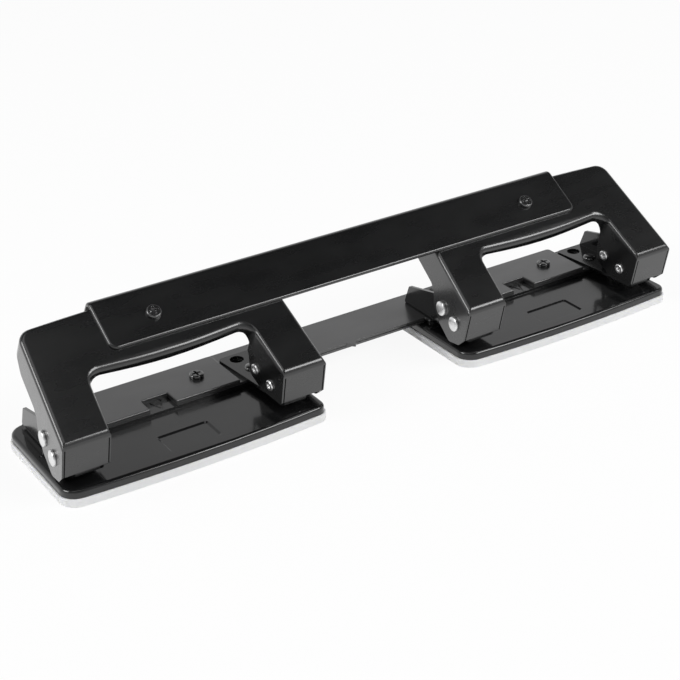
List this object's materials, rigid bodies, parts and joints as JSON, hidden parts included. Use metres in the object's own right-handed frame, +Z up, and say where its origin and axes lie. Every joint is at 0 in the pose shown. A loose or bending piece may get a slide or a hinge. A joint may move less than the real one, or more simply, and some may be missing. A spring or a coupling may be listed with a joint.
{
  "type": "multi-hole paper punch",
  "caption": "Manual desk punch: twin two-hole units on a rail, pressed under one long handle bar, with riveted levers, sprung round punches and frosted chip trays.",
  "frame": {"origin": "on the table under the middle of the punch: midway between the two units, and midway between the trays' front edge and the rail's back edge", "axes": "+X along the handle bar and the row of holes, +Y from the paper side to the back, where the handle is pressed, +Z up"},
  "size_m": [0.2608, 0.0542, 0.0501],
  "materials": {
    "lever_enamel": "satin",
    "base_enamel": "gloss",
    "plate_enamel": "satin",
    "screw_black": "satin",
    "rivet_chrome": "polished",
    "pin_steel": "ground",
    "spring_steel": "zinc plated",
    "tray_plastic": "frosted"
  },
  "bodies": {
    "frame": {"base_left": "base_enamel", "base_right": "base_enamel", "connecting_rail": "plate_enamel", "cover_plate_left": "plate_enamel", "cover_plate_right": "plate_enamel", "cover_plate_screws": "screw_black", "head_bracket_1": "plate_enamel", "head_bracket_2": "plate_enamel", "head_bracket_3": "plate_enamel", "head_bracket_4": "plate_enamel", "bracket_rivets": "screw_black", "return_spring_1": "spring_steel", "return_spring_2": "spring_steel", "return_spring_3": "spring_steel", "return_spring_4": "spring_steel"},
    "lever": {"lever_left": "lever_enamel", "lever_right": "lever_enamel", "fulcrum_rivets": "rivet_chrome", "drive_rivets": "rivet_chrome", "handle_bar": "lever_enamel", "handle_bar_screws": "screw_black"},
    "pin_1": {"punch_pin_1": "pin_steel", "retaining_clip_1": "spring_steel"},
    "pin_2": {"punch_pin_2": "pin_steel", "retaining_clip_2": "spring_steel"},
    "pin_3": {"punch_pin_3": "pin_steel", "retaining_clip_3": "spring_steel"},
    "pin_4": {"punch_pin_4": "pin_steel", "retaining_clip_4": "spring_steel"},
    "chip_tray_left": {"tray_left": "tray_plastic"},
    "chip_tray_right": {"tray_right": "tray_plastic"}
  },
  "joints": [
    {"name": "lever_hinge", "type": "hinge", "parent": "frame", "child": "lever", "pos_m": [0, -0.01625, 0.0156], "axis": [-1, 0, 0], "range_deg": [0, 26], "stiffness_Nm_per_rad": 0.1, "springref_deg": -51.57},
    {"name": "pin_1_slide", "type": "slide", "parent": "frame", "child": "pin_1", "axis": [0, 0, -1], "range_m": [0, 0.0041], "deforming": ["return_spring_1"]},
    {"name": "pin_2_slide", "type": "slide", "parent": "frame", "child": "pin_2", "axis": [0, 0, -1], "range_m": [0, 0.0041], "deforming": ["return_spring_2"]},
    {"name": "pin_3_slide", "type": "slide", "parent": "frame", "child": "pin_3", "axis": [0, 0, -1], "range_m": [0, 0.0041], "deforming": ["return_spring_3"]},
    {"name": "pin_4_slide", "type": "slide", "parent": "frame", "child": "pin_4", "axis": [0, 0, -1], "range_m": [0, 0.0041], "deforming": ["return_spring_4"]},
    {"name": "tray_left_slide", "type": "slide", "parent": "frame", "child": "chip_tray_left", "axis": [0, 0, -1], "range_m": [0, 0.012]},
    {"name": "tray_right_slide", "type": "slide", "parent": "frame", "child": "chip_tray_right", "axis": [0, 0, -1], "range_m": [0, 0.012]}
  ],
  "couplings": [
    {"joint": "pin_1_slide", "follows": "lever_hinge", "m_per_rad": 0.00893},
    {"joint": "pin_2_slide", "follows": "lever_hinge", "m_per_rad": 0.00893},
    {"joint": "pin_3_slide", "follows": "lever_hinge", "m_per_rad": 0.00893},
    {"joint": "pin_4_slide", "follows": "lever_hinge", "m_per_rad": 0.00893}
  ]
}
